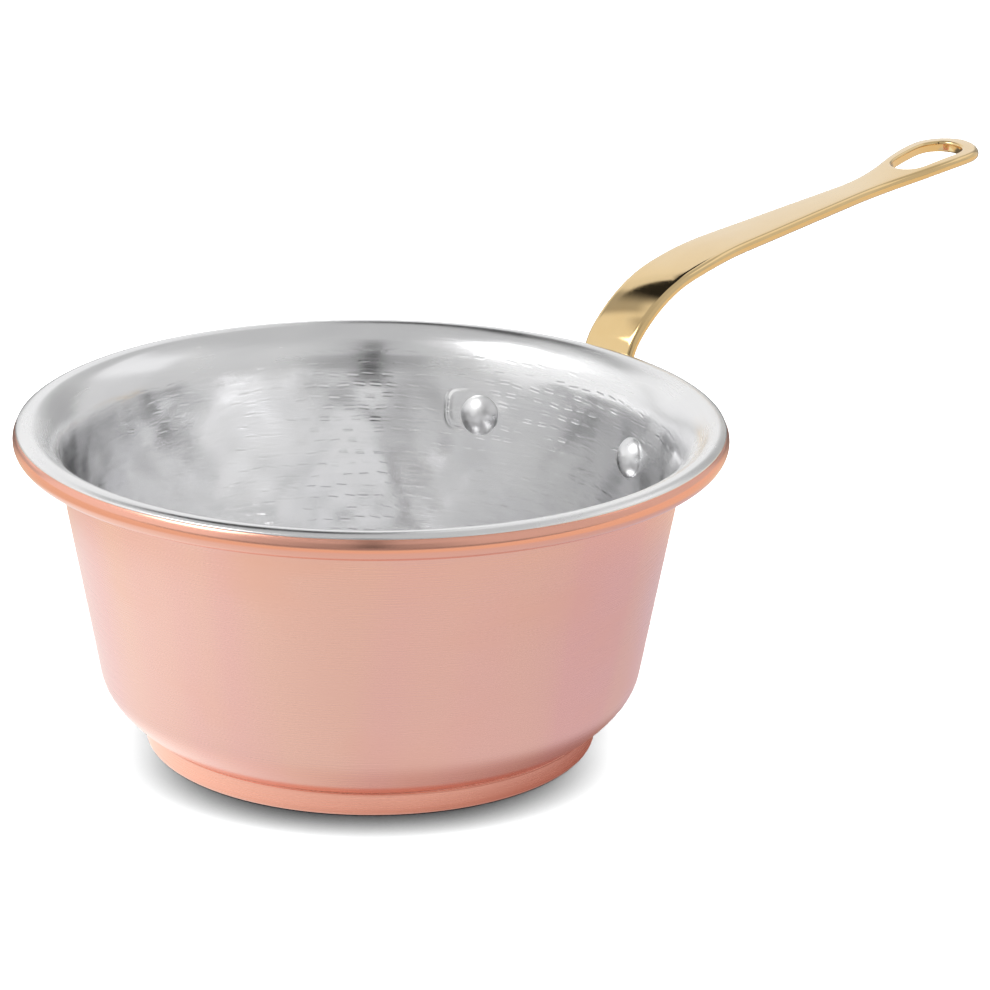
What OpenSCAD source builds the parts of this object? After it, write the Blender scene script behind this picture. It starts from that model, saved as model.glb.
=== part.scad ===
// Copper saucepan: a spun copper pan with a rolled rim and a stepped foot, lined with tin,
// and a cast brass handle held by two rivets. The pan's axis is Z, it stands on z = 0,
// and the handle points along +X.

/* [Pan] */
// Diameter over the rolled rim
rim_d = 180; // [179:0.5:184]
// Height from the base to the crest of the rim
pan_h = 84.5; // [80:0.5:90]
// Thickness of the copper sheet
sheet_t = 1.2; // [1:0.1:1.5]
// Thickness of the tin lining
tin_t = 0.2; // [0.1:0.05:0.3]
// Lean of the wall from the vertical
wall_lean = 10.4; // [10:0.1:10.8]

/* [Rim] */
// Outer radius of the copper roll
roll_r = 3.5; // [3.2:0.1:3.7]
// Radius of the flare that leads the wall into the roll
flare_r = 13.8; // [12.6:0.2:14.6]
// Where the rolled edge ends, as an angle below the outward direction
roll_end = 165; // [120:5:180]
// Where the tin stops on the outside of the roll, as an angle above the outward direction
tin_edge = 43; // [30:1:60]

/* [Foot] */
// Diameter of the foot
foot_d = 114.8; // [113:0.2:115.2]
// Rounding of the foot's lower edge
foot_round = 2; // [1.6:0.1:2.4]
// Depth of the groove between foot and body
groove_depth = 0.4; // [0.2:0.1:0.5]

/* [Handle] */
// Thickness of the handle
handle_t = 3; // [2.6:0.1:3.4]
// Width of the handle beside the pan
root_w = 16.2; // [14:0.2:18]
// Width of the handle's neck before the eye
neck_w = 10; // [9:0.2:11]
// Distance from the pan's axis to the handle's tip
reach = 248.7; // [244:0.1:252]
// Outer width of the eye
eye_w = 21.8; // [20.4:0.2:23]
// Width of the hole in the eye
hole_w = 13.2; // [12:0.2:14.4]
// Length of the hole in the eye
hole_l = 27; // [24:0.1:29]

/* [Rivets] */
// Diameter of a rivet's shank
rivet_d = 5.2; // [4:0.2:6]
// Diameter of the domed head inside the pan
head_d = 10.6; // [9:0.2:11]
// Height of the domed head
head_h = 3; // [2.4:0.1:3.4]
// Diameter of the upset head outside the flange
tail_d = 9; // [8:0.2:10]
// Height of the rivets above the base
rivet_z = 63; // [61:0.5:63]
// Angle of each rivet from the handle, about the pan's axis
rivet_a = 20.4; // [19:0.2:22]

/* [Hidden] */
$fn = 96;
lap = 1;
// Furthest that a chord may stray from its arc
chord_gap = 0.01;

function dir(a) = [cos(a), sin(a)];
function reversed(list) = [for (i = [len(list) - 1 : -1 : 0]) list[i]];
function arc_steps(r, turn) = max(2, ceil(abs(turn) / (2 * acos(1 - chord_gap / r))));
// The points of an arc after its first, which the stretch before it already has
function arc(centre, r, a0, a1) =
    let (n = arc_steps(r, a1 - a0))
    [for (i = [1 : n]) centre + r * dir(a0 + (a1 - a0) * i / n)];

// Wall and rim. The wall is straight, and its flare and roll share the sheet's thickness.
lean = dir(90 - wall_lean);
outward = dir(-wall_lean);
corner_z = 19.9;
roll_step = 4.1;
roll_c = [rim_d / 2 - roll_r, pan_h - tin_t - roll_r];
flare_out = flare_r - roll_r - roll_step;
flare_drop = sqrt(pow(flare_r - roll_r, 2) - pow(flare_out, 2));
flare_c = roll_c + flare_out * outward - flare_drop * lean;
flare_touch = atan2(roll_c[1] - flare_c[1], roll_c[0] - flare_c[0]);
wall_top = flare_c - (flare_r - sheet_t) * outward;
wall_foot = wall_top - lean * (wall_top[1] - corner_z) / lean[1];

// Base corner: a tight arc, then a wider one down to the groove above the foot.
tight_r = 13.2;
tight_end = -36;
wide_r = 31;
wide_end = -58.6;
tight_c = wall_foot - tight_r * outward;
wide_c = tight_c - (wide_r - tight_r) * dir(tight_end);
foot_r = foot_d / 2;
foot_c = [foot_r - foot_round, foot_round];
foot_top = wide_c + wide_r * dir(wide_end);

// Handle, seen from the side: its middle line bends in turn at the hook, curl, bow, ease, rise and level.
bow_start = [95.4, 86.4];
root_a = 15;
hook_r = 9;
hook_a = 85;
curl_r = 14;
curl_a = 46;
bow_r = 43;
bow_a = 12;
ease_r = 160;
ease_a = 3;
shank_l = 54;
rise_r = 260;
rise_a = 8.5;
level_r = 170;
level_a = 2;
root_r = rim_d / 2 - 11;
gusset = 8;

// Handle, seen from above.
taper_x = 125;
eye_r = eye_w / 2;
eye_x = reach - eye_r;
eye_neck_r = 9.4;
eye_neck_x = eye_x - 11.3;
fillet_r = 90;
tip_wall = 4.8;
hole_r = hole_w / 2;
hole_x = reach - tip_wall - hole_r;
hole_neck_r = 5.2;
hole_neck_x = hole_x + hole_r + hole_neck_r - hole_l;

// Flange, a plate bent round the pan's wall.
flange_t = 3;
flange_h = 14;
lobe_r = 9;
boss_r = 11;
boss_drop = 2;

rivet_r = wall_foot[0] + (rivet_z - wall_foot[1]) * lean[0] / lean[1];
tail_h = 1.8;
tail_taper = 2;

// The pan's section from the centre of the base to the wall's top, at a depth below the outer surface
function wall_line(inset) = concat(
    [[0, inset], [foot_c[0], inset]],
    arc(foot_c, foot_round - inset, -90, 0),
    [wide_c + (wide_r - inset) * dir(wide_end)],
    arc(wide_c, wide_r - inset, wide_end, tight_end),
    arc(tight_c, tight_r - inset, tight_end, -wall_lean),
    [wall_top - inset * outward]
);

// The section's continuation through the flare and round the roll
function rim_line(inset, last_angle) = concat(
    arc(flare_c, flare_r - sheet_t + inset, 180 - wall_lean, flare_touch),
    arc(roll_c, roll_r - sheet_t + inset, flare_touch, last_angle)
);

// A layer of the pan between two depths, turned from the base to where it stops on the roll
module layer(near, deep, last_angle) {
    rotate_extrude()
    polygon(concat(
        wall_line(near), rim_line(near, last_angle),
        reversed(rim_line(deep, last_angle)), reversed(wall_line(deep))
    ));
}

// Carries what is drawn along +X at the origin to a rivet's axis, square to the wall
module at_rivet(side) {
    rotate([0, 0, side * rivet_a])
    translate([rivet_r, 0, rivet_z])
    rotate([0, wall_lean, 0])
    rotate([0, 90, 0])
    children();
}

module rivet_holes() {
    for (side = [-1, 1]) at_rivet(side) translate([0, 0, -6]) cylinder(h = 14, d = rivet_d);
}

module copper_body() {
    color([0.90, 0.58, 0.46])
    difference() {
        layer(0, sheet_t, -roll_end);
        groove();
        rivet_holes();
    }
}

// The fine line pressed in where the foot meets the body
module groove() {
    rotate_extrude() translate(foot_top) circle(groove_depth);
}

module tin_lining() {
    color([0.86, 0.86, 0.87])
    difference() {
        layer(sheet_t, sheet_t + tin_t, tin_edge);
        rivet_holes();
    }
}

// Stations [point, direction] along a bend of the handle's middle line, after its first
function bend(p, r, a0, a1) =
    let (side = a1 > a0 ? 1 : -1, n = arc_steps(r, a1 - a0))
    [for (i = [1 : n]) let (a = a0 + (a1 - a0) * i / n) [p + side * r * (dir(a0 + 90) - dir(a + 90)), a]];

function last(list) = list[len(list) - 1];
function bend_span(r, a0, a1) = last(bend([0, 0], r, a0, a1))[0];

root_p = bow_start - bend_span(curl_r, hook_a, curl_a) - bend_span(hook_r, root_a, hook_a);
root_l = (root_p[0] - root_r) / cos(root_a);
hook = bend(root_p, hook_r, root_a, hook_a);
curl = bend(last(hook)[0], curl_r, hook_a, curl_a);
bow = bend(bow_start, bow_r, curl_a, bow_a);
ease = bend(last(bow)[0], ease_r, bow_a, ease_a);
rise_p = last(ease)[0] + shank_l * dir(ease_a);
rise = bend(rise_p, rise_r, ease_a, rise_a);
level = bend(last(rise)[0], level_r, rise_a, level_a);
tip_p = last(level)[0] + (reach + lap - last(level)[0][0]) * dir(level_a) / cos(level_a);
stations = concat(
    [[root_p - root_l * dir(root_a), root_a], [root_p, root_a]],
    hook, curl, bow, ease, [[rise_p, ease_a]], rise, level, [[tip_p, level_a]]
);

module handle_side() {
    polygon(concat(
        [for (s = stations) s[0] + handle_t / 2 * dir(s[1] + 90)],
        reversed([for (s = stations) s[0] - handle_t / 2 * dir(s[1] + 90)])
    ));
    gusset_side();
}

// The thickened corner under the handle's root
module gusset_side() {
    corner = stations[0][0];
    end = corner + gusset * dir(root_a);
    centre = end + gusset * dir(-90);
    polygon(concat(
        [corner, end], arc(centre, gusset - handle_t / 2, 90, 180), [[corner[0], centre[1]]]
    ));
}

// Outline of two discs on the handle's line and the straight flanks that touch both
function drop(x0, r0, x1, r1) =
    let (touch = 90 + asin((r1 - r0) / (x1 - x0)))
    concat(arc([x1, 0], r1, -touch, touch), arc([x0, 0], r0, touch, 360 - touch));

// One side of the handle's outline, from the root to the flank of the eye
function flank() =
    let (
        half = neck_w / 2,
        hyp = eye_neck_r + fillet_r,
        fillet_c = [eye_neck_x - sqrt(pow(hyp, 2) - pow(half + fillet_r, 2)), half + fillet_r],
        touch = atan2(-fillet_c[1], eye_neck_x - fillet_c[0])
    )
    concat(
        [[root_r - lap, root_w / 2], [taper_x, root_w / 2], [fillet_c[0], half]],
        arc(fillet_c, fillet_r, -90, touch)
    );

module handle_plan() {
    side = flank();
    touch = atan2(last(side)[1], last(side)[0] - eye_neck_x);
    eye_touch = 90 + asin((eye_r - eye_neck_r) / (eye_x - eye_neck_x));
    eye = concat(
        arc([eye_neck_x, 0], eye_neck_r, touch, eye_touch),
        arc([eye_x, 0], eye_r, eye_touch, -eye_touch)
    );
    difference() {
        polygon(concat(
            side, eye, arc([eye_neck_x, 0], eye_neck_r, -eye_touch, -touch),
            reversed([for (p = side) [p[0], -p[1]]])
        ));
        polygon(drop(hole_neck_x, hole_neck_r, hole_x, hole_r));
    }
}

module strap() {
    intersection() {
        translate([0, root_w, 0]) rotate([90, 0, 0]) linear_extrude(2 * root_w) handle_side();
        linear_extrude(2 * pan_h) handle_plan();
    }
}

// Two lobes round the rivets, a bar between them and a round boss under the strap
module flange_outline() {
    lobe_y = rivet_r * sin(rivet_a);
    for (side = [-1, 1]) at_rivet(side) translate([0, 0, -6]) cylinder(h = 20, r = lobe_r);
    translate([root_r - 20, -lobe_y, rivet_z - flange_h / 2]) cube([30, 2 * lobe_y, flange_h]);
    translate([root_r - 20, 0, rivet_z - boss_drop]) rotate([0, 90, 0]) cylinder(h = 30, r = boss_r);
}

module flange() {
    intersection() {
        rotate_extrude() polygon([
            wall_foot, wall_top, wall_top + flange_t * outward, wall_foot + flange_t * outward
        ]);
        flange_outline();
    }
}

module brass_handle() {
    color([0.86, 0.70, 0.40])
    difference() {
        union() {
            flange();
            strap();
        }
        rivet_holes();
    }
}

// How far a flat disc stands off the bottom of a hollow wall that it touches at two sides
function stand_off(disc_r, wall_r) = wall_r - sqrt(pow(wall_r, 2) - pow(disc_r, 2));

// A rivet turned in one: a domed head on the lining, a shank, and an upset head on the flange
module rivet(side) {
    lined = sheet_t + tin_t;
    head_z = -lined - stand_off(head_d / 2, rivet_r - lined);
    dome_r = (pow(head_d / 2, 2) + pow(head_h, 2)) / (2 * head_h);
    dome_z = head_z - head_h + dome_r;
    dome_a = asin(head_d / 2 / dome_r);
    tail_z = flange_t + tail_h;
    color([0.80, 0.80, 0.81])
    at_rivet(side) rotate_extrude() polygon(concat(
        [[0, dome_z - dome_r]],
        arc([0, dome_z], dome_r, -90, dome_a - 90),
        [[rivet_d / 2, head_z], [rivet_d / 2, flange_t], [tail_d / 2, flange_t]],
        [[(tail_d - tail_taper) / 2, tail_z], [0, tail_z]]
    ));
}

module rivet_left() {
    rivet(1);
}

module rivet_right() {
    rivet(-1);
}

copper_body();
tin_lining();
brass_handle();
rivet_left();
rivet_right();
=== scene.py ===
import math

import bmesh
import bpy
import numpy as np
from mathutils import Matrix, Vector
from mathutils.geometry import delaunay_2d_cdt


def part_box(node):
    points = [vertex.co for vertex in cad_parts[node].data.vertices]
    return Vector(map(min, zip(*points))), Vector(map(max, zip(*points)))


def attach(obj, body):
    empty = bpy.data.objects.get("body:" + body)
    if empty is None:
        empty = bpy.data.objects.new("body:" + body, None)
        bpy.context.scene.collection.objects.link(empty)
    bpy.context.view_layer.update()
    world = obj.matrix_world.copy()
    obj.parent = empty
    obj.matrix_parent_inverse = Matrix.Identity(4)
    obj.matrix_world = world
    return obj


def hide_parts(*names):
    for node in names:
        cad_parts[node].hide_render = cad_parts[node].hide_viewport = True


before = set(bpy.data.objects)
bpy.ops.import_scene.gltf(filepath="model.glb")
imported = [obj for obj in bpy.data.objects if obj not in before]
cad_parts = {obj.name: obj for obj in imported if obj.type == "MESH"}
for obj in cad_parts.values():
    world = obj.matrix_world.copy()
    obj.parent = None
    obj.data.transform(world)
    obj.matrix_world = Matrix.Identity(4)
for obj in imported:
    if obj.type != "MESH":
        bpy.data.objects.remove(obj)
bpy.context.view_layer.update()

# Lengths below are in millimetres and angles in degrees, until a mesh is made in metres.
MM = 0.001


def size_of(node, corner, axis):
    """One coordinate of a corner of a CAD node's box, 0 for its lowest and 1 for its highest."""
    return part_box(node)[corner][axis] / MM


# ---------------------------------------------------------------- the pan's section

RIM_R = size_of("copper_body", 1, 1)
PAN_H = size_of("tin_lining", 1, 2)
SHEET_T = 1.2
TIN_T = 0.2
LEAN = 10.4
ROLL_R = 3.5
ROLL_STEP = 4.1
ROLL_END = -165
TIN_EDGE = 43
FLARE_R = 13.8
CORNER_Z = 19.9
TIGHT_R, TIGHT_END = 13.2, -36
WIDE_R, WIDE_END = 31, -58.6
FOOT_R, FOOT_ROUND = 57.4, 2
GROOVE_R, GROOVE_END = 0.4, -250


def toward(angle):
    """The unit vector at an angle."""
    a = math.radians(angle)
    return np.array([math.cos(a), math.sin(a)])


lean_dir = toward(90 - LEAN)
outward = toward(-LEAN)
roll_c = np.array([RIM_R - ROLL_R, PAN_H - TIN_T - ROLL_R])
flare_out = FLARE_R - ROLL_R - ROLL_STEP
flare_drop = math.sqrt((FLARE_R - ROLL_R) ** 2 - flare_out**2)
flare_c = roll_c + flare_out * outward - flare_drop * lean_dir
FLARE_TOUCH = math.degrees(math.atan2(roll_c[1] - flare_c[1], roll_c[0] - flare_c[0]))
wall_top = flare_c - (FLARE_R - SHEET_T) * outward
wall_foot = wall_top - lean_dir * (wall_top[1] - CORNER_Z) / lean_dir[1]
tight_c = wall_foot - TIGHT_R * outward
wide_c = tight_c - (WIDE_R - TIGHT_R) * toward(TIGHT_END)
foot_c = np.array([FOOT_R - FOOT_ROUND, FOOT_ROUND])
foot_top = wide_c + WIDE_R * toward(WIDE_END)


def arc(centre, radius, a0, a1, step):
    """Points of an arc after its first, no further apart than step."""
    n = max(3, math.ceil(abs(math.radians(a1 - a0)) * radius / step))
    return [centre + radius * toward(a0 + (a1 - a0) * i / n) for i in range(1, n + 1)]


def line(p, q, step):
    """Points of a straight stretch after its first."""
    p, q = np.array(p, float), np.array(q, float)
    n = max(1, math.ceil(np.linalg.norm(q - p) / step))
    return [p + (q - p) * i / n for i in range(1, n + 1)]


def section(inset, last_angle, step, fine, groove=False):
    """The section from the base's centre up the wall and round the roll, this deep below the surface."""
    rounding = FOOT_ROUND - inset
    wide = WIDE_R - inset
    start = np.array([0, inset])
    points = [start] + line(start, [foot_c[0], inset], step)
    points += arc(foot_c, rounding, -90, 0, fine)
    if groove:
        turn = math.degrees(GROOVE_R / wide)
        points += line(points[-1], [FOOT_R, foot_top[1] - GROOVE_R], fine)
        points += arc(foot_top, GROOVE_R, -90, GROOVE_END, fine / 3)
        points += [wide_c + wide * toward(WIDE_END + turn)]
        points += arc(wide_c, wide, WIDE_END + turn, TIGHT_END, step)
    else:
        points += line(points[-1], wide_c + wide * toward(WIDE_END), fine)
        points += arc(wide_c, wide, WIDE_END, TIGHT_END, step)
    points += arc(tight_c, TIGHT_R - inset, TIGHT_END, -LEAN, step)
    points += line(points[-1], wall_top - inset * outward, step)
    points += arc(flare_c, FLARE_R - SHEET_T + inset, 180 - LEAN, FLARE_TOUCH, step)
    points += arc(roll_c, ROLL_R - SHEET_T + inset, FLARE_TOUCH, last_angle, fine)
    return np.array(points)


def lengths(points):
    """How far along a line of points each one lies."""
    return np.concatenate([[0], np.cumsum(np.linalg.norm(np.diff(points, axis=0), axis=1))])


def side_normals(points):
    """Unit normals of a line of points, on its right-hand side."""
    d = np.gradient(points, axis=0)
    n = np.stack([d[:, 1], -d[:, 0]], 1)
    return n / np.linalg.norm(n, axis=1)[:, None]


# ---------------------------------------------------------------- meshes


def make_mesh(name, verts, faces):
    """A piece from points in millimetres, with its faces turned outward."""
    mesh = bpy.data.meshes.new(name)
    mesh.from_pydata((np.asarray(verts) * MM).tolist(), [], faces)
    bm = bmesh.new()
    bm.from_mesh(mesh)
    bmesh.ops.recalc_face_normals(bm, faces=bm.faces)
    bm.to_mesh(mesh)
    bm.free()
    mesh.polygons.foreach_set("use_smooth", [True] * len(mesh.polygons))
    mesh.update()
    obj = bpy.data.objects.new(name, mesh)
    bpy.context.scene.collection.objects.link(obj)
    return obj


def turned(name, sections, columns, shift):
    """A closed section turned about Z. shift(angles, row) gives how far a row moves along its normal."""
    points = np.asarray(sections, float)
    normals = side_normals(points)
    angles = np.linspace(0, 2 * math.pi, columns, endpoint=False)
    c, s = np.cos(angles), np.sin(angles)
    verts, rows = [], []
    for i, (r, z) in enumerate(points):
        if r < 1e-6:
            rows.append([len(verts)] * columns)
            verts.append((0, 0, z))
            continue
        d = shift(angles, i)
        rr = r + d * normals[i, 0]
        zz = z + d * normals[i, 1]
        rows.append(list(range(len(verts), len(verts) + columns)))
        verts.extend(np.stack([rr * c, rr * s, zz + 0 * c], 1).tolist())
    faces = []
    for a, b in zip(rows[:-1], rows[1:]):
        for j in range(columns):
            k = (j + 1) % columns
            ring = [a[j], a[k], b[k], b[j]]
            faces.append(list(dict.fromkeys(ring)))
    return make_mesh(name, verts, [f for f in faces if len(f) > 2])


class Waves:
    """Smooth seeded unevenness over (angle, height) that closes on itself round the axis."""

    def __init__(self, seed, count, rounds, height):
        rng = np.random.RandomState(seed)
        self.m = rng.randint(rounds[0], rounds[1] + 1, count)
        self.k = 2 * math.pi / rng.uniform(height[0], height[1], count) * rng.choice([-1, 1], count)
        self.p = rng.uniform(0, 2 * math.pi, count)
        self.scale = 1 / math.sqrt(count / 2)

    def __call__(self, angles, v):
        total = sum(np.cos(m * angles + k * v + p) for m, k, p in zip(self.m, self.k, self.p))
        return total * self.scale


def bump(x, width):
    """A bell curve, 1 at 0 and 1/e at width."""
    return np.exp(-((x / width) ** 2))


# ---------------------------------------------------------------- copper body

body_outer = section(0, ROLL_END, 1.6, 0.45, groove=True)
body_inner = section(SHEET_T, ROLL_END, 3.2, 0.45)
body_section = np.concatenate([body_outer, body_inner[::-1]])
outer_v = lengths(body_outer)
body_waves = Waves(3, 24, (2, 9), (45, 130))
BODY_WAVE = 0.035
# Heights between which the waves come in above the foot, and go out below the rim
FADE_IN, FADE_OUT = (8, 20), (70, 78)
come = (body_outer[:, 1] - FADE_IN[0]) / (FADE_IN[1] - FADE_IN[0])
go = (FADE_OUT[1] - body_outer[:, 1]) / (FADE_OUT[1] - FADE_OUT[0])
outer_fade = np.clip(come, 0, 1) * np.clip(go, 0, 1)


def body_shift(angles, i):
    if i >= len(body_outer) or body_outer[i, 0] < FOOT_R * 0.9:
        return 0 * angles
    return BODY_WAVE * outer_fade[i] * body_waves(angles, outer_v[i])


body = turned("body_shell", body_section, 320, body_shift)

# ---------------------------------------------------------------- rivets' places

RIVET_A = 20.4
RIVET_Z = 63
RIVET_R = wall_foot[0] + (RIVET_Z - wall_foot[1]) * lean_dir[0] / lean_dir[1]
HEAD_R, HEAD_H = 5.3, 3.0
SHANK_R = 2.6
TAIL_R, TAIL_H = 4.5, 1.8
FLANGE_T = 3.0


def wall_frame(angle, x, y, depth):
    """A point x along and y up the wall from a rivet's height, depth outward from the copper's surface."""
    phi = math.radians(angle)
    lean = math.radians(LEAN)
    n = np.array([math.cos(lean) * math.cos(phi), math.cos(lean) * math.sin(phi), -math.sin(lean)])
    t = np.array([-math.sin(phi), math.cos(phi), 0])
    up = np.cross(n, t)
    origin = np.array([RIVET_R * math.cos(phi), RIVET_R * math.sin(phi), RIVET_Z])
    return origin + x * t + y * up + depth * n


# ---------------------------------------------------------------- tin lining

LINING_STEP, LIP_STEP = 1.2, 0.55
DEEPEST = 0.14
# Heights of the unevenness: hammered facets, broad waves, and facets on the floor
FACET, BROAD, FLOOR_FACET = 0.052, 0.05, 0.02
# The swelling round each rivet and the ripples beyond it: height and width, and the ripples' step
COLLAR, COLLAR_W = 0.3, 8
RIPPLE, RIPPLE_W, RIPPLE_STEP = 0.07, 16, 11

# Heights of the corner above the base and of the start of the lip
CORNER_TOP, LIP_Z = 11, 77.5

# The surface goes by how far along its section it lies from the base's centre
lining_path = section(SHEET_T + TIN_T, TIN_EDGE, 0.3, 0.3)
path_v = lengths(lining_path)
corner_v = path_v[np.argmin(np.abs(lining_path[:, 1] - CORNER_TOP) + 9 * (lining_path[:, 0] < 50))]
lip_v = path_v[np.argmin(np.abs(lining_path[:, 1] - LIP_Z) + 9 * (lining_path[:, 0] < 70))]
rivet_v = np.interp(RIVET_Z, lining_path[:, 1], path_v)
wall_stops, lip_stops = np.arange(0, lip_v, LINING_STEP), np.arange(lip_v, path_v[-1], LIP_STEP)
stops = np.concatenate([wall_stops, lip_stops, [path_v[-1]]])
lining_inner = np.stack([np.interp(stops, path_v, lining_path[:, k]) for k in (0, 1)], 1)
lining_outer = section(SHEET_T, TIN_EDGE, 3.0, 0.7)
lining_section = np.concatenate([lining_inner, lining_outer[::-1]])
facets = Waves(7, 70, (10, 42), (9, 30))
broad_waves = Waves(8, 16, (2, 7), (40, 120))

# Swellings of the wall about the rivets: the side, how far on toward the left and up, height and width
SWELLS = (
    (1, -4, -12, 0.6, 8),
    (1, 13.5, -8, 0.5, 7.5),
    (-1, 2, -13, 0.6, 8),
    (-1, -11, 2, 0.4, 7),
)


def near_rivets(angles, v, radius):
    """The wall drawn up and pushed about by the riveting."""
    total = 0 * angles
    for side in (1, -1):
        along = ((angles - side * math.radians(RIVET_A) + math.pi) % (2 * math.pi) - math.pi) * radius
        far = np.hypot(along, v - rivet_v)
        ripples = np.sin(far * 2 * math.pi / RIPPLE_STEP) * bump(far, RIPPLE_W)
        total += COLLAR * bump(far, COLLAR_W) + RIPPLE * ripples
        for which, x, y, height, width in SWELLS:
            if which == side:
                total += height * bump(np.hypot(along - x, v - rivet_v - y), width)
    return total


def lining_shift(angles, i):
    if i >= len(lining_inner) or lining_inner[i, 0] < 1:
        return 0 * angles
    r, z = lining_inner[i]
    v = stops[i]
    on_wall = np.clip((v - corner_v) / 4, 0, 1) * np.clip((lip_v + 2 - v) / 5, 0, 1)
    on_floor = np.clip((corner_v - v) / 6, 0, 1) * np.clip(r / 12, 0, 1)
    uneven = FACET * facets(angles, v) + BROAD * broad_waves(angles, v)
    total = on_wall * (uneven + near_rivets(angles, v, r))
    total += on_floor * FLOOR_FACET * facets(angles, v)
    return -np.maximum(total, -DEEPEST)


lining = turned("lining_shell", lining_section, 360, lining_shift)

# ---------------------------------------------------------------- rivets

# How far a flat head stands off the hollow wall, the height of its rim, and the depth of its dents
STAND_OFF = 0.19
HEAD_EDGE = 0.45
DENT = 0.012


def rivet(name, side, seed):
    """A rivet turned about its own axis, then set through the wall."""
    seat = -SHEET_T - TIN_T - STAND_OFF
    edge = HEAD_EDGE
    dome_h = HEAD_H - edge
    dome_r = (HEAD_R**2 + dome_h**2) / (2 * dome_h)
    dome_a = math.degrees(math.asin(HEAD_R / dome_r))
    dome_c = np.array([0, seat - edge - dome_h + dome_r])
    points = [dome_c + dome_r * toward(-90)]
    points += arc(dome_c, dome_r, -90, dome_a - 90 - 3, 0.45)
    points += [np.array([HEAD_R, seat - edge * 0.8]), np.array([HEAD_R + 0.02, seat - edge * 0.35])]
    points += [np.array([HEAD_R - 0.1, seat]), np.array([SHANK_R, seat])]
    points += line([SHANK_R, seat], [SHANK_R, FLANGE_T], 1)
    points += [np.array([TAIL_R - 0.1, FLANGE_T]), np.array([TAIL_R, FLANGE_T + 0.25])]
    tail = [(0.97, 0.3), (0.9, 0.62), (0.76, 0.88), (0.5, 1.0), (0.25, 0.97), (0, 0.95)]
    points += [np.array([TAIL_R * a, FLANGE_T + TAIL_H * b]) for a, b in tail]
    points = np.array(points)
    dents = Waves(seed, 10, (1, 5), (3, 9))
    v = lengths(points)
    obj = turned(name, points, 96, lambda a, i: DENT * dents(a, v[i]) * min(1, points[i, 0] / 1.5))
    phi = side * RIVET_A
    for vert in obj.data.vertices:
        x, y, z = vert.co / MM
        vert.co = Vector(wall_frame(phi, x, y, z)) * MM
    obj.data.update()
    return obj


rivets = {1: rivet("rivet_left_set", 1, 21), -1: rivet("rivet_right_set", -1, 22)}

# ---------------------------------------------------------------- handle

HANDLE_T = 3.0
HALF_W = 8.1
NECK_W = 5.0
BOW_START = np.array([95.4, 86.4])
# The root's direction, and how far inside the rim it starts
ROOT_A = 15
ROOT_IN, ROOT_LAP = 11, 0.6
# Each bend of the handle's middle line: radius and the direction it ends in
BENDS = ((9, 85), (14, 46), (43, 12), (160, 3))
SHANK_L = 54
LAST_BENDS = ((260, 8.5), (170, 2))
REACH = size_of("brass_handle", 1, 0)
TAPER_X = 125
EYE_R, EYE_NECK_R, EYE_STEP = 10.9, 9.4, 11.3
EYE_SMOOTH = 60
FILLET_R = 90
HOLE_R, HOLE_NECK_R, HOLE_L = 6.6, 5.2, 27
TIP_WALL = 4.8
EDGE_R, HOLE_EDGE_R = 1.42, 0.8
CROWN, RIPPLED = 0.32, 0.02
GRID, GRID_REACH = 1.0, 14


def bend_stations(p, a0, radius, a1, step=0.6):
    """Stations (x, z, direction) along a bend from a point, after its first."""
    side = 1 if a1 > a0 else -1
    n = max(4, math.ceil(abs(math.radians(a1 - a0)) * radius / step))
    out = []
    for i in range(1, n + 1):
        a = a0 + (a1 - a0) * i / n
        out.append((*(p + side * radius * (toward(a0 + 90) - toward(a + 90))), a))
    return out


def middle_line():
    """Stations (x, z, direction) of the handle's middle line from the flange to past its tip."""
    start = BOW_START.copy()
    for (radius, a1), a0 in ((BENDS[1], BENDS[0][1]), (BENDS[0], ROOT_A)):
        span = np.array(bend_stations(np.zeros(2), a0, radius, a1)[-1][:2])
        start = start - span
    root_l = (start[0] - (RIM_R - ROOT_IN)) / math.cos(math.radians(ROOT_A))
    first = start - root_l * toward(ROOT_A)
    out = [(*(first + (start - first) * t), ROOT_A) for t in np.linspace(0, 1, 8)]
    angle = ROOT_A
    for radius, a1 in BENDS:
        out += bend_stations(np.array(out[-1][:2]), angle, radius, a1)
        angle = a1
    p = np.array(out[-1][:2])
    out += [(*(p + t * toward(angle)), angle) for t in np.linspace(0.6, SHANK_L, 80)]
    for radius, a1 in LAST_BENDS:
        out += bend_stations(np.array(out[-1][:2]), angle, radius, a1)
        angle = a1
    p = np.array(out[-1][:2])
    run = (REACH + 2 - p[0]) / math.cos(math.radians(angle))
    out += [(*(p + t * toward(angle)), angle) for t in np.linspace(0.6, run, 30)]
    return np.array(out)


stations = middle_line()
station_s = lengths(stations[:, :2])


def along_of(x):
    """How far along the handle's middle line a distance from the pan's axis lies."""
    return np.interp(x, stations[:, 0], station_s)


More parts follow.
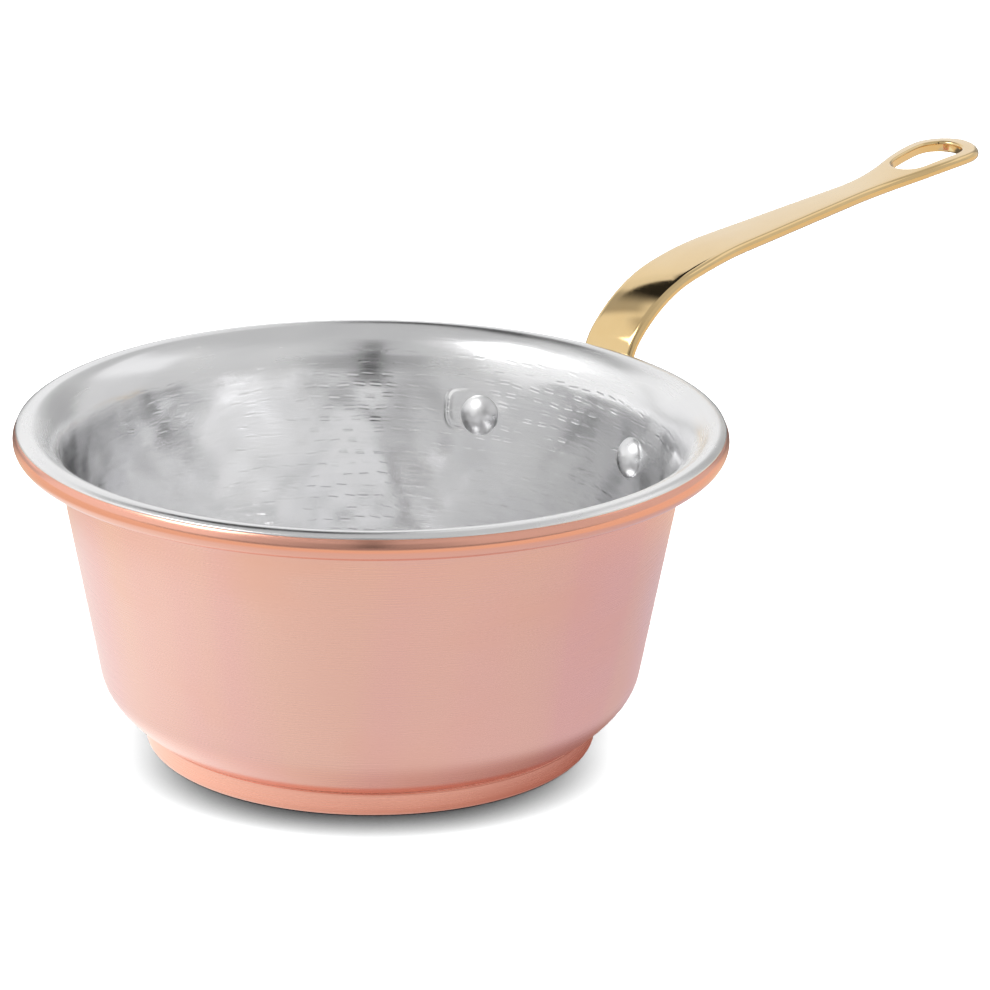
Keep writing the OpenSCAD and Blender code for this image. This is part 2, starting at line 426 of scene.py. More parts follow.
def eye_outline():
    """The handle's outline seen from above, as one closed line, and the hole's."""
    eye_x = REACH - EYE_R
    neck_x = eye_x - EYE_STEP
    reach = EYE_NECK_R + FILLET_R
    fillet_c = np.array([neck_x - math.sqrt(reach**2 - (NECK_W + FILLET_R) ** 2), NECK_W + FILLET_R])
    touch = math.degrees(math.atan2(-fillet_c[1], neck_x - fillet_c[0]))
    back = math.degrees(math.atan2(fillet_c[1], fillet_c[0] - neck_x))
    eye_touch = 90 + math.degrees(math.asin((EYE_R - EYE_NECK_R) / (eye_x - neck_x)))
    side = [np.array([RIM_R - ROOT_IN - ROOT_LAP, HALF_W])]
    side += line(side[-1], [TAPER_X, HALF_W], 0.7)
    side += line(side[-1], [fillet_c[0], NECK_W], 0.7)
    side += arc(fillet_c, FILLET_R, -90, touch, 0.7)
    side += arc(np.array([neck_x, 0]), EYE_NECK_R, back, eye_touch, 0.5)
    side += arc(np.array([eye_x, 0]), EYE_R, eye_touch, 0, 0.5)
    side = np.array(side)
    for _ in range(EYE_SMOOTH):
        side[1:-1] += 0.25 * (side[:-2] + side[2:] - 2 * side[1:-1])
    outer = np.concatenate([side, (side * [1, -1])[::-1][1:]])
    hole_x = REACH - TIP_WALL - HOLE_R
    hole_neck_x = hole_x + HOLE_R + HOLE_NECK_R - HOLE_L
    turn = 90 + math.degrees(math.asin((HOLE_R - HOLE_NECK_R) / (hole_x - hole_neck_x)))
    hole = arc(np.array([hole_x, 0]), HOLE_R, 0, turn, 0.5)
    hole += line(hole[-1], np.array([hole_neck_x, 0]) + HOLE_NECK_R * toward(turn), 0.5)
    hole += arc(np.array([hole_neck_x, 0]), HOLE_NECK_R, turn, 180, 0.5)
    hole = np.array(hole)
    mirrored = (hole * [1, -1])[::-1][1:-1]
    hole = np.concatenate([hole, mirrored])
    for _ in range(EYE_SMOOTH):
        hole = hole + 0.25 * (np.roll(hole, 1, 0) + np.roll(hole, -1, 0) - 2 * hole)
    return outer, hole


def closed_normals(loop, inward):
    """Normals of a closed loop, towards the metal."""
    d = np.roll(loop, -1, 0) - np.roll(loop, 1, 0)
    n = np.stack([-d[:, 1], d[:, 0]], 1)
    n /= np.linalg.norm(n, axis=1)[:, None]
    area = 0.5 * np.sum(loop[:, 0] * np.roll(loop[:, 1], -1) - np.roll(loop[:, 0], -1) * loop[:, 1])
    return n * (1 if (area > 0) == inward else -1)


ROOT_FILLET, ROOT_GAP = 3.5, 1.4


def plate_point(s, y, h):
    """Carries a point of the flat plate (along, across, above the middle) onto the bent handle."""
    x = np.interp(s, station_s, stations[:, 0])
    z = np.interp(s, station_s, stations[:, 1])
    a = np.radians(np.interp(s, station_s, stations[:, 2]))
    near = np.clip((root_s + ROOT_FILLET - s) / ROOT_FILLET, 0, 1)
    flare = ROOT_FILLET * (1 - np.sqrt(1 - near**2))
    h = h * (1 + flare / (HANDLE_T / 2))
    y = y * (1 + flare / HALF_W)
    return np.stack([x - h * np.sin(a), y, z + h * np.cos(a)], -1)


root_s = along_of(RIVET_R + FLANGE_T + ROOT_GAP)


def plate(outer, hole):
    """Points and faces of the plate with rounded edges, in (along, across, above)."""
    loops = []
    for loop, inward in ((outer, True), (hole, False)):
        flat = np.stack([along_of(loop[:, 0]), loop[:, 1]], 1)
        loops.append((flat, closed_normals(flat, inward)))
    verts, faces = [], []
    half = HANDLE_T / 2
    steps = [0, 15, 30, 45, 60, 75, 90]
    caps = {1: [], -1: []}
    for (flat, normals), edge in zip(loops, (EDGE_R, HOLE_EDGE_R)):
        rings = [(edge * (1 - math.cos(math.radians(p))), half - edge + edge * math.sin(math.radians(p)))
                 for p in steps]
        levels = [(o, h) for o, h in reversed(rings)] + [(0, 0)] + [(o, -h) for o, h in rings]
        n = len(flat)
        ids = []
        for offset, h in levels:
            ids.append(list(range(len(verts), len(verts) + n)))
            ring = flat + offset * normals
            verts.extend([(p[0], p[1], h) for p in ring])
        for a, b in zip(ids[:-1], ids[1:]):
            for j in range(n):
                k = (j + 1) % n
                faces.append([a[j], a[k], b[k], b[j]])
        caps[1].append((ids[0], flat + edge * normals))
        caps[-1].append((ids[-1], flat + edge * normals))
    for side in (1, -1):
        fill(caps[side], side * half, verts, faces)
    return np.array(verts), faces


def inside(loop, p):
    """Whether a closed loop goes round a point."""
    x, y = loop[:, 0], loop[:, 1]
    x2, y2 = np.roll(x, -1), np.roll(y, -1)
    cross = ((y > p[1]) != (y2 > p[1])) & (p[0] < (x2 - x) * (p[1] - y) / (y2 - y + 1e-12) + x)
    return bool(np.count_nonzero(cross) % 2)


def grid_inside(rings):
    """Grid points inside the first ring, outside the others, and clear of all their edges."""
    out = []
    edges = np.concatenate(rings)
    for a in np.arange(rings[0][:, 0].min() + GRID / 2, rings[0][:, 0].max(), GRID):
        for b in np.arange(-GRID_REACH, GRID_REACH + 0.01, GRID):
            p = np.array([a, b])
            gap = np.min(np.abs(edges - p).max(axis=1))
            if gap > 0.45 * GRID and within(rings, p):
                out.append(p)
    return out


def within(rings, p):
    """Whether a point is inside the first ring and outside the others."""
    return inside(rings[0], p) and not any(inside(ring, p) for ring in rings[1:])


def fill(caps, height, verts, faces):
    """Fills the first ring of (corner numbers, points), less the others, with faces at a height."""
    points, known, edges = [], [], []
    for ring_ids, ring in caps:
        base = len(points)
        points += [Vector(p) for p in ring]
        known += ring_ids
        edges += [(base + j, base + (j + 1) % len(ring)) for j in range(len(ring))]
    rings = [ring for _, ring in caps]
    points += [Vector(p) for p in grid_inside(rings)]
    out_v, _, out_f, sources, _, _ = delaunay_2d_cdt(points, edges, [], 0, 1e-4)
    numbers = []
    for point, source in zip(out_v, sources):
        if source and source[0] < len(known):
            numbers.append(known[source[0]])
        else:
            numbers.append(len(verts))
            verts.append((point.x, point.y, height))
    for f in out_f:
        centre = sum((out_v[k] for k in f), Vector((0, 0))) / len(f)
        if within(rings, centre):
            faces.append([numbers[k] for k in f])


outer_line, hole_line = eye_outline()
plate_verts, plate_faces = plate(outer_line, hole_line)
handle_waves = Waves(31, 12, (1, 1), (30, 90))
crown = CROWN * (1 - np.clip(np.abs(plate_verts[:, 1]) / HALF_W, 0, 1) ** 2) * (plate_verts[:, 2] > 0)
ripple = RIPPLED * handle_waves(0 * plate_verts[:, 0], plate_verts[:, 0])
bent = plate_point(plate_verts[:, 0], plate_verts[:, 1], plate_verts[:, 2] + crown + ripple)
strap = make_mesh("handle_casting", bent, plate_faces)

# ---------------------------------------------------------------- flange

LOBE_R = 9.0
BAR_H = 7.0
BOSS_R, BOSS_DROP = 11.0, 2.0
FLANGE_EDGE = 1.0
FLANGE_SMOOTH = 12
WALL_GAP = 0.02


def flange_line():
    """The flange's outline laid flat: along the wall and up it, from the rivets' height."""
    lobe_a = math.radians(RIVET_A) * RIVET_R
    a = np.linspace(lobe_a, -lobe_a, 90)[1:-1]
    lobes = (LOBE_R - BAR_H) * np.clip((np.abs(a) - lobe_a + 9) / 9, 0, 1) ** 2
    boss = np.sqrt(np.clip(1 - (a / (BOSS_R + 2)) ** 2, 0, 1)) ** 1.5
    top = BAR_H + lobes + (BOSS_R - BOSS_DROP - BAR_H) * boss
    bottom = BAR_H + lobes + (BOSS_R + BOSS_DROP - BAR_H) * boss
    right = arc(np.array([lobe_a, 0]), LOBE_R, -90, 90, 0.6)
    left = arc(np.array([-lobe_a, 0]), LOBE_R, 90, 270, 0.6)
    points = right + list(np.stack([a, top], 1)) + left + list(np.stack([-a, -bottom[::-1]], 1))
    points = np.array(points)
    for _ in range(FLANGE_SMOOTH):
        points += 0.25 * (np.roll(points, 1, 0) + np.roll(points, -1, 0) - 2 * points)
    return points


def flange_mesh():
    """The flange with its rounded outer edge, bent to the wall."""
    loop = flange_line()
    normals = closed_normals(loop, True)
    steps = [90, 72, 54, 36, 18, 0]
    levels = [(FLANGE_EDGE * (1 - math.cos(math.radians(p))),
               FLANGE_T - FLANGE_EDGE + FLANGE_EDGE * math.sin(math.radians(p))) for p in steps]
    levels += [(0, 1.0), (0, WALL_GAP)]
    verts, faces, ids = [], [], []
    n = len(loop)
    for offset, d in levels:
        ids.append(list(range(len(verts), len(verts) + n)))
        verts.extend([(p[0], p[1], d) for p in loop + offset * normals])
    for a, b in zip(ids[:-1], ids[1:]):
        faces += [[a[j], a[(j + 1) % n], b[(j + 1) % n], b[j]] for j in range(n)]
    for ring_ids, depth in ((ids[0], FLANGE_T), (ids[-1], WALL_GAP)):
        ring = np.array([verts[k][:2] for k in ring_ids])
        fill([(ring_ids, ring)], depth, verts, faces)
    placed = [wall_frame(math.degrees(x / RIVET_R), 0, y, d) for x, y, d in verts]
    return make_mesh("handle_flange", placed, faces)


flange = flange_mesh()
union = strap.modifiers.new("join", "BOOLEAN")
union.operation = "UNION"
union.solver = "EXACT"
union.object = flange
depsgraph = bpy.context.evaluated_depsgraph_get()
joined = bpy.data.meshes.new_from_object(strap.evaluated_get(depsgraph))
strap.modifiers.clear()
strap.data = joined
bpy.data.objects.remove(flange)
strap.data.polygons.foreach_set("use_smooth", [True] * len(strap.data.polygons))

# ---------------------------------------------------------------- materials


class Graph:
    """Math on the sockets of a node tree."""

    def __init__(self, tree):
        self.tree = tree

    def add(self, kind, **values):
        node = self.tree.nodes.new("ShaderNode" + kind)
        for key, value in values.items():
            setattr(node, key, value)
        return node

    def link(self, source, target):
        self.tree.links.new(source, target)

    def math(self, operation, *values):
        node = self.add("Math", operation=operation)
        for socket, value in zip(node.inputs, values):
            if isinstance(value, (int, float)):
                socket.default_value = value
            else:
                self.link(value, socket)
        return node.outputs[0]

    def plus(self, *values):
        total = values[0]
        for value in values[1:]:
            total = self.math("ADD", total, value)
        return total

    def times(self, *values):
        total = values[0]
        for value in values[1:]:
            total = self.math("MULTIPLY", total, value)
        return total

    def bell(self, value, width):
        """A bell curve of a value, 1 at 0 and 1/e at width."""
        return self.math("EXPONENT", self.times(value, value, -1 / width**2))

    def coordinates(self, output):
        parts = self.add("SeparateXYZ")
        self.link(self.add("TexCoord").outputs[output], parts.inputs[0])
        return parts.outputs

    def ramp(self, value, low, high):
        """0 at low and 1 at high, smooth between, either way round."""
        node = self.add("MapRange", interpolation_type="SMOOTHSTEP")
        flip = low > high
        node.inputs["From Min"].default_value = min(low, high)
        node.inputs["From Max"].default_value = max(low, high)
        node.inputs["To Min"].default_value = 1.0 if flip else 0.0
        node.inputs["To Max"].default_value = 0.0 if flip else 1.0
        self.link(value, node.inputs["Value"])
        return node.outputs[0]

    def span(self, value, low, high, lo=0.0, hi=1.0):
        """lo where the value is low and hi where it is high, straight between."""
        node = self.add("MapRange")
        node.inputs["From Min"].default_value = low
        node.inputs["From Max"].default_value = high
        node.inputs["To Min"].default_value = lo
        node.inputs["To Max"].default_value = hi
        self.link(value, node.inputs["Value"])
        return node.outputs[0]

    def blend(self, base, amount, level):
        """base where amount is 0, level where it is 1."""
        return self.plus(base, self.times(self.math("SUBTRACT", level, base), amount))

    def mix(self, factor, a, b):
        node = self.add("Mix", data_type="RGBA")
        if isinstance(factor, (int, float)):
            node.inputs[0].default_value = factor
        else:
            self.link(factor, node.inputs[0])
        for socket, value in ((node.inputs[6], a), (node.inputs[7], b)):
            if isinstance(value, tuple):
                socket.default_value = (*value, 1)
            else:
                self.link(value, socket)
        return node.outputs[2]


# The wall's radius for patterns round the axis, and how much of a radius counts as height in them
PATTERN_R, PATTERN_SLOPE = 75, 0.7


class Nodes(Graph):
    """Shorthand for a procedural metal's node tree."""

    def __init__(self, name):
        self.mat = bpy.data.materials.new(name)
        self.mat.use_nodes = True
        super().__init__(self.mat.node_tree)
        self.shader = self.tree.nodes["Principled BSDF"]

    def place(self, scale=(1, 1, 1)):
        """Object coordinates in millimetres, stretched by scale."""
        coords = self.add("TexCoord").outputs["Object"]
        mapping = self.add("Mapping")
        mapping.inputs["Scale"].default_value = [s / MM for s in scale]
        self.link(coords, mapping.inputs["Vector"])
        return mapping.outputs[0]

    def round_axis(self, turn_scale, height_scale):
        """Coordinates (angle, height, radius) about the pan's axis, in millimetres at the wall."""
        x, y, z = self.coordinates("Object")
        radius = self.math("SQRT", self.plus(self.times(x, x), self.times(y, y)))
        cos = self.math("DIVIDE", x, self.math("MAXIMUM", radius, 1e-5))
        sin = self.math("DIVIDE", y, self.math("MAXIMUM", radius, 1e-5))
        joined = self.add("CombineXYZ")
        self.link(self.times(cos, PATTERN_R * turn_scale), joined.inputs[0])
        self.link(self.times(sin, PATTERN_R * turn_scale), joined.inputs[1])
        slope = PATTERN_SLOPE * height_scale / MM
        run = self.plus(self.times(z, height_scale / MM), self.times(radius, slope))
        self.link(run, joined.inputs[2])
        return joined.outputs[0]

    def noise(self, vector, scale=1.0, detail=2.0, rough=0.5):
        node = self.add("TexNoise")
        node.inputs["Scale"].default_value = scale
        node.inputs["Detail"].default_value = detail
        node.inputs["Roughness"].default_value = rough
        self.link(vector, node.inputs["Vector"])
        return node.outputs["Fac"]

    def bumps(self, *layers):
        """Chained bumps of (height, distance in millimetres, strength)."""
        normal = None
        for height, distance, strength in layers:
            node = self.add("Bump")
            node.inputs["Strength"].default_value = strength
            node.inputs["Distance"].default_value = distance * MM
            self.link(height, node.inputs["Height"])
            if normal:
                self.link(normal, node.inputs["Normal"])
            normal = node.outputs[0]
        self.link(normal, self.shader.inputs["Normal"])

    def finish(self, colour, roughness, anisotropic=0.0):
        self.link(colour, self.shader.inputs["Base Color"])
        self.link(roughness, self.shader.inputs["Roughness"])
        self.shader.inputs["Metallic"].default_value = 1.0
        self.shader.inputs["Anisotropic"].default_value = anisotropic
        return self.mat


FOOT_H = foot_top[1]


def copper_material():
    """Spun copper: faint lathe lines, pink and peach bands, and a painted reflection that makes the roll
    and the foot ring redder and more saturated.
    """
    n = Nodes("spun_copper")
    bands = n.noise(n.round_axis(0.045, 0.004), detail=1)
    tarnish = n.noise(n.place((0.02, 0.02, 0.035)), detail=3)
    lines = n.noise(n.round_axis(0.05, 4.5), detail=2, rough=0.7)
    peach, pink, orange = (0.93, 0.555, 0.45), (0.92, 0.52, 0.465), (0.91, 0.49, 0.37)
    colour = n.mix(n.span(bands, 0.38, 0.62), peach, pink)
    colour = n.mix(n.span(tarnish, 0.5, 0.75, 0, 0.5), colour, orange)
    height = n.times(n.coordinates("Object")[2], 1 / MM)
    # Painted reflection: the roll and the foot ring are coloured redder, standing in for copper mirrored
    # in copper and in the shaded floor.
    painted_reflection = n.plus(n.ramp(height, PAN_H - 10, PAN_H - 4), n.ramp(height, FOOT_H + 2, FOOT_H - 1))
    colour = n.mix(painted_reflection, colour, (0.93, 0.475, 0.36))
    rough = n.plus(n.span(lines, 0.3, 0.7, -0.02, 0.03), n.span(tarnish, 0.3, 0.7, 0.24, 0.3))
    rough = n.plus(rough, n.times(n.ramp(height, PAN_H - 10, PAN_H - 4), -0.08))
    n.bumps((lines, 0.008, 0.05))
    return n.finish(colour, rough, anisotropic=0.35)


DASH_ROW = 3.0
DASH_COUNT = 104
DASH_HALF = 1.5
DASH_WIDTH = 0.25
DASH_DEPTH = 0.036
DASH_SPREAD = 0.6


def hammer_dashes(n):
    """Height in millimetres of rows of short hammered strokes, each a fine cut with a lip above it."""
    x, y, z = n.coordinates("Object")
    up = n.times(z, 1 / MM / math.cos(math.radians(LEAN)))
    row = n.math("FLOOR", n.times(up, 1 / DASH_ROW))
    turn = n.times(n.math("ARCTAN2", y, x), DASH_COUNT / (2 * math.pi))
    stagger = n.times(n.math("MODULO", row, 2), 0.5)
    stray = n.times(n.math("SINE", n.times(row, 7.3)), 0.17)
    turn = n.plus(turn, stagger, stray)
    column = n.math("FLOOR", turn)
    cell = n.add("CombineXYZ")
    n.link(row, cell.inputs[0])
    n.link(n.math("MODULO", n.plus(column, DASH_COUNT), DASH_COUNT), cell.inputs[1])
    chance = n.add("TexWhiteNoise", noise_dimensions="3D")
    n.link(cell.outputs[0], chance.inputs["Vector"])
    shifts = n.add("SeparateXYZ")
    n.link(chance.outputs["Color"], shifts.inputs[0])
    pitch = 2 * math.pi * RIVET_R / DASH_COUNT
    along = n.times(n.plus(n.math("SUBTRACT", turn, column), n.times(shifts.outputs[0], 0.4), -0.7), pitch)
    across = n.plus(n.times(n.plus(n.times(up, 1 / DASH_ROW), n.times(row, -1), -0.5), DASH_ROW),
                    n.times(n.plus(shifts.outputs[1], -0.5), 0.7))
    across = n.plus(across, n.times(along, n.times(n.plus(shifts.outputs[2], -0.7), 0.22)))
    ends = n.ramp(n.math("ABSOLUTE", along), DASH_HALF * 1.25, DASH_HALF * 0.6)
    cut = n.plus(n.times(n.bell(n.plus(across, -0.48), 0.3), 0.7), n.times(n.bell(across, DASH_WIDTH), -1))
    height = n.times(z, 1 / MM)
    wall = n.times(n.ramp(height, 12, 17), n.ramp(height, PAN_H - 3, PAN_H - 7))
    strong = n.plus(n.times(n.bell(n.math("ARCTAN2", y, x), DASH_SPREAD), 0.75), 0.5)
    gain = n.times(n.math("POWER", chance.outputs["Value"], 0.6), strong)
    return n.times(cut, ends, wall, gain, DASH_DEPTH)


PAD_X, PAD_Y = 5.0, 1.6
PAD_HALF_W, PAD_HALF_H = 4.7, 5.4
CREASE_W = 0.45
CREASE_DEPTH = 0.13


def pad_crease(n):
    """Height in millimetres of the crease that the flange's edge has pressed through the wall."""
    x, y, z = n.coordinates("Object")
    turn = n.plus(n.math("ARCTAN2", y, x), -math.radians(RIVET_A))
    side = n.plus(n.times(turn, RIVET_R), -PAD_X)
    rise = n.times(n.plus(n.times(z, 1 / MM), -RIVET_Z), 1 / math.cos(math.radians(LEAN)))
    far = n.plus(n.math("POWER", n.math("ABSOLUTE", n.times(side, 1 / PAD_HALF_W)), 3),
                 n.math("POWER", n.math("ABSOLUTE", n.times(n.plus(rise, -PAD_Y), 1 / PAD_HALF_H)), 3))
    far = n.times(n.plus(n.math("POWER", far, 1 / 3), -1), PAD_HALF_W)
    left = n.times(n.ramp(side, -1.5, 1.0), n.ramp(side, 9, 7))
    crease = n.plus(n.times(n.bell(n.plus(far, 0.9), 0.6), 0.8), n.times(n.bell(far, CREASE_W), -1))
    return n.times(crease, left, CREASE_DEPTH)


def tin_material():
    """Tin wiped on by hand, over rows of hammer dashes."""
    n = Nodes("wiped_tin")
    patches = n.noise(n.place((0.03, 0.03, 0.05)), detail=3)
    wipes = n.noise(n.round_axis(0.06, 0.9), detail=3, rough=0.6)
    grain = n.noise(n.place((1.4, 1.4, 1.4)), detail=2)
    colour = n.mix(n.span(patches, 0.35, 0.7), (0.83, 0.83, 0.84), (0.88, 0.88, 0.88))
    rough = n.plus(n.span(patches, 0.3, 0.7, 0.12, 0.23), n.span(wipes, 0.3, 0.7, -0.03, 0.05))
    rough = n.plus(rough, n.times(n.ramp(n.coordinates("Object")[2], 0.068, 0.077), 0.05))
    n.bumps((wipes, 0.03, 0.3), (grain, 0.012, 0.25), (n.plus(hammer_dashes(n), pad_crease(n)), 1, 1))
    return n.finish(colour, rough)


def brass_material():
    """Polished brass under a clear lacquer, polished along its length."""
    n = Nodes("lacquered_brass")
    clouds = n.noise(n.place((0.04, 0.08, 0.08)), detail=3)
    polish = n.noise(n.place((0.15, 2.2, 2.2)), detail=3, rough=0.6)
    colour = n.mix(n.span(clouds, 0.35, 0.65), (0.86, 0.625, 0.305), (0.83, 0.585, 0.265))
    rough = n.plus(n.span(clouds, 0.3, 0.7, 0.05, 0.1), n.span(polish, 0.3, 0.7, -0.02, 0.03))
    n.bumps((polish, 0.008, 0.2))
    n.shader.inputs["Coat Weight"].default_value = 1.0
    n.shader.inputs["Coat Roughness"].default_value = 0.06
    return n.finish(colour, rough)


def rivet_material():
    """A rivet with the same tin on it, a little duller than the wall."""
    n = Nodes("tinned_rivet")
    clouds = n.noise(n.place((0.25, 0.25, 0.25)), detail=3)
    grain = n.noise(n.place((1.8, 1.8, 1.8)), detail=2)
    colour = n.mix(n.span(clouds, 0.35, 0.65), (0.80, 0.80, 0.81), (0.86, 0.86, 0.86))
    rough = n.span(clouds, 0.3, 0.7, 0.26, 0.38)
    n.bumps((clouds, 0.03, 0.3), (grain, 0.01, 0.2))
    return n.finish(colour, rough)


copper, tin, brass, tinned = copper_material(), tin_material(), brass_material(), rivet_material()
pieces = [
    (body, copper, "copper_body", "copper"),
    (lining, tin, "tin_lining", "tin"),
    (strap, brass, "brass_handle", "brass"),
    (rivets[1], tinned, "rivet_left", "rivet"),
    (rivets[-1], tinned, "rivet_right", "rivet"),
]
for obj, material, node, slot_name in pieces:
    obj.data.materials.clear()
    obj.data.materials.append(material)
    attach(obj, "root")
    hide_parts(node)

# ---------------------------------------------------------------- studio

scene = bpy.context.scene
scene.view_settings.view_transform = "Standard"
scene.view_settings.look = "None"
scene.cycles.caustics_reflective = False

VIEW_AZ = 42.9
FLOOR_HALF = 4.0


def floor_sheet(name, material):
    mesh = bpy.data.meshes.new(name)
    corners = [(x * FLOOR_HALF, y * FLOOR_HALF, 0) for x, y in ((-1, -1), (1, -1), (1, 1), (-1, 1))]
    mesh.from_pydata(corners, [], [(0, 1, 2, 3)])
    mesh.materials.append(material)
    obj = bpy.data.objects.new(name, mesh)
    scene.collection.objects.link(obj)
    return obj


def turn_from(g, x, y, azimuth):
    """Degrees from an azimuth to the direction (x, y), positive to the left."""
    a = math.radians(azimuth)
    ahead = g.plus(g.times(x, math.cos(a)), g.times(y, math.sin(a)))
    aside = g.plus(g.times(y, math.cos(a)), g.times(x, -math.sin(a)))
    return g.times(g.math("ARCTAN2", aside, ahead), 180 / math.pi)


# Panels: turn to the left of the view, half width, soft edge, lowest, highest, soft edge, brightness
PANELS = (
    (22, 40, 6, 34, 58, 4, 0.85),
    (18, 30, 6, 11, 40, 6, 0.92),
    (-110, 36, 12, 0, 50, 12, 0.62),
    (-64, 18, 7, 0, 36, 6, 0.68),
    (-64, 20, 7, 36, 48, 5, 0.95),
    (-32, 8, 5, 4, 28, 5, 0.4),
    (95, 36, 8, -8, 50, 6, 0.92),
    (46, 8, 8, 42, 54, 5, 0.45),
    (108, 14, 6, 42, 60, 4, 5.0),
    (180, 14, 22, -25, 26, 8, 0.36),
    (180, 3.6, 1.5, -12, 60, 8, 0.02),
)
# The dark gap above the far panel: its corner's turn, its reach to each side, its foot, top and slant
GAP_TURN, GAP_RIGHT, GAP_LEFT = 12, 14, 22
GAP_LOW, GAP_HIGH, GAP_SLANT = 48, 65, 0.83
GROUND_LEVEL = 0.55
SKY_LOW, SKY_HIGH = 5.3, 1.7


def studio_world():
    """Even light for the floor, and large soft panels on a grey ground for what the metals mirror."""
    world = bpy.data.worlds.new("studio")
    scene.world = world
    world.use_nodes = True
    g = Graph(world.node_tree)
    x, y, z = g.coordinates("Generated")
    height = g.times(g.math("ARCSINE", z), 180 / math.pi)
    level = GROUND_LEVEL
    for turn, half, soft, low, high, rim, bright in PANELS:
        aside = g.math("ABSOLUTE", turn_from(g, x, y, VIEW_AZ + turn))
        window = g.times(g.ramp(aside, half + soft, half), g.ramp(height, low - rim, low))
        window = g.times(window, g.ramp(height, high + rim, high))
        level = g.blend(level, window, bright)
    aside = turn_from(g, x, y, VIEW_AZ + GAP_TURN)
    reach = g.plus(height, g.times(g.math("MAXIMUM", g.times(aside, -1), 0), GAP_SLANT))
    gap = g.times(g.ramp(aside, -GAP_RIGHT - 2, -GAP_RIGHT), g.ramp(aside, GAP_LEFT + 16, GAP_LEFT - 2))
    gap = g.times(gap, g.ramp(reach, GAP_LOW - 1, GAP_LOW + 1), g.ramp(height, GAP_HIGH + 3, GAP_HIGH))
    level = g.blend(level, gap, 0.02)
    rays = g.add("LightPath")
    sky = g.blend(SKY_HIGH, g.ramp(height, 45, 15), SKY_LOW)
    strength = g.blend(sky, rays.outputs["Is Glossy Ray"], level)
    strength = g.blend(strength, rays.outputs["Is Camera Ray"], 1.0)
    background = world.node_tree.nodes["Background"]
    background.inputs["Color"].default_value = (1, 1, 1, 1)
    g.link(strength, background.inputs["Strength"])


# How far the shadow at the foot reaches, and its strength in front and at the sides
CONTACT = 14
CONTACT_POWER, SIDE_POWER = 1.5, 0.035
# The mirrored floor at the left, in front and at the right: painted light, brighter and cooler at the left
# and darker at the right
SIDE_COLOURS = ((1.0, 1.1, 1.12), (0.78, 0.775, 0.78), (0.68, 0.66, 0.72))
# The mirrored floor near the foot, from its left to its right: painted light at the left, and at the right
# a painted shadow tinted red as a painted reflection of the copper
FOOT_COLOURS = ((1.28, 1.25, 1.22), (0.46, 0.20, 0.14))


def shown_floor():
    """A pale floor with a painted contact shadow: its colour goes dark with ambient occlusion in the
    narrow gap under the pan's edge, more in front than at the sides.
    """
    pale = Nodes("pale_floor_painted_shadow")
    gap = pale.add("AmbientOcclusion", samples=8)
    gap.inputs["Distance"].default_value = CONTACT * MM
    x, y, _ = pale.coordinates("Object")
    ahead = pale.math("ABSOLUTE", turn_from(pale, x, y, VIEW_AZ + 180))
    power = pale.plus(pale.times(pale.ramp(ahead, 85, 15), CONTACT_POWER), SIDE_POWER)
    # Painted shadow: the floor's base colour is darkened by the ambient occlusion, strongly in front and
    # faintly at the sides.
    open_to = pale.math("POWER", gap.outputs["AO"], power)
    pale.link(pale.mix(open_to, (0, 0, 0), (0.93, 0.93, 0.93)), pale.shader.inputs["Base Color"])
    pale.shader.inputs["Roughness"].default_value = 1.0
    pale.shader.inputs["Specular IOR Level"].default_value = 0.0
    shown = floor_sheet("floor", pale.mat)
    shown.visible_glossy = False


# The mirrored floor away from the pan, and where it ends towards the camera and behind the pan
FAR_COLOUR = (0.87, 0.75, 0.60)
FRONT_DARK, BACK_DARK = (0.3, 0.3, 0.3), (0.16, 0.16, 0.16)


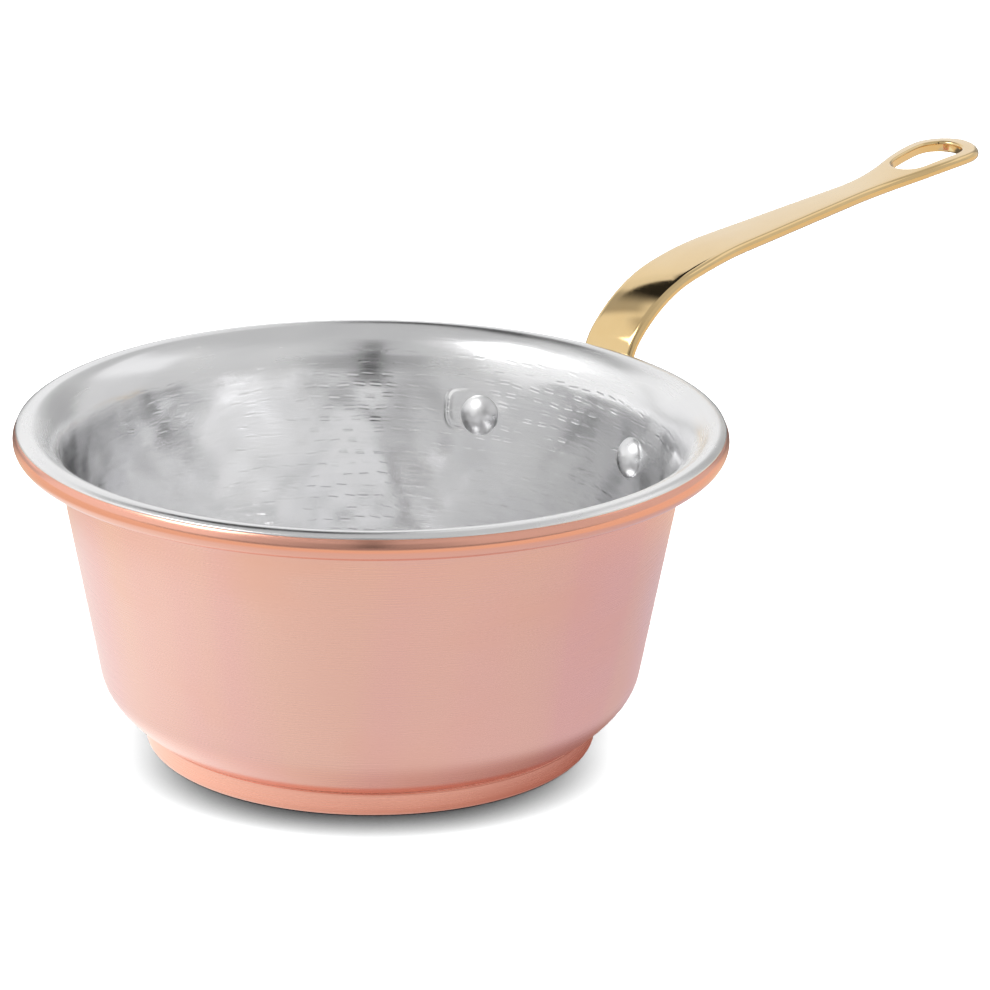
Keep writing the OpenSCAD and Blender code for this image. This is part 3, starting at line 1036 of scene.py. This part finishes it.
def mirrored_floor():
    """The floor as the metals see it, a glowing sheet of painted light: cool at the left, warm near the
    copper as a painted reflection of it, ending at a dark room.
    """
    glow = bpy.data.materials.new("mirrored_floor")
    glow.use_nodes = True
    glow.node_tree.nodes.clear()
    g = Graph(glow.node_tree)
    x, y, _ = g.coordinates("Object")
    turn = turn_from(g, x, y, VIEW_AZ + 180)
    left, middle, right = SIDE_COLOURS
    colour = g.mix(g.ramp(turn, -90, 2), left, middle)
    colour = g.mix(g.ramp(turn, 0, 100), colour, right)
    away = g.times(g.math("SQRT", g.plus(g.times(x, x), g.times(y, y))), 1 / MM)
    # Painted reflection and shadow near the foot: bright at the left, dark red at the right.
    near = g.mix(g.ramp(turn, -100, 100), *FOOT_COLOURS)
    tinted = g.add("Mix", data_type="RGBA", blend_type="MULTIPLY")
    tinted.inputs[0].default_value = 1.0
    g.link(colour, tinted.inputs[6])
    g.link(near, tinted.inputs[7])
    colour = g.mix(g.ramp(away, 80, 58), colour, tinted.outputs[2])
    colour = g.mix(g.ramp(away, 150, 210), colour, FAR_COLOUR)
    a = math.radians(VIEW_AZ)
    toward_view = g.plus(g.times(x, -math.cos(a) / MM), g.times(y, -math.sin(a) / MM))
    colour = g.mix(g.ramp(toward_view, 330, 430), colour, FRONT_DARK)
    behind = g.math("ABSOLUTE", turn_from(g, x, y, VIEW_AZ))
    room = g.times(g.ramp(toward_view, -150, -240), g.ramp(behind, 50, 30))
    colour = g.mix(room, colour, BACK_DARK)
    emission = g.add("Emission")
    g.link(colour, emission.inputs["Color"])
    g.link(emission.outputs[0], g.add("OutputMaterial").inputs["Surface"])
    mirrored = floor_sheet("floor_mirrored", glow)
    mirrored.visible_camera = False
    mirrored.visible_diffuse = False
    mirrored.visible_shadow = False


studio_world()
shown_floor()
mirrored_floor()


EYE = (-843.3, -783.7, 453.57)
TARGET = (21.25, -22.87, 64.34)
ROLL = 0.733
LENS = 174.9


def set_camera():
    eye = Vector(EYE) * MM
    target = Vector(TARGET) * MM
    roll = math.radians(ROLL)
    back = (eye - target).normalized()
    right = Vector((0, 0, 1)).cross(back).normalized()
    up = back.cross(right)
    x_axis = right * math.cos(roll) + up * math.sin(roll)
    y_axis = up * math.cos(roll) - right * math.sin(roll)
    data = bpy.data.cameras.new("camera")
    data.lens = LENS
    data.sensor_width = 36
    data.clip_start = 0.01
    data.clip_end = 50
    obj = bpy.data.objects.new("camera", data)
    scene.collection.objects.link(obj)
    obj.matrix_world = Matrix.Translation(eye) @ Matrix((x_axis, y_axis, back)).transposed().to_4x4()
    scene.camera = obj


set_camera()
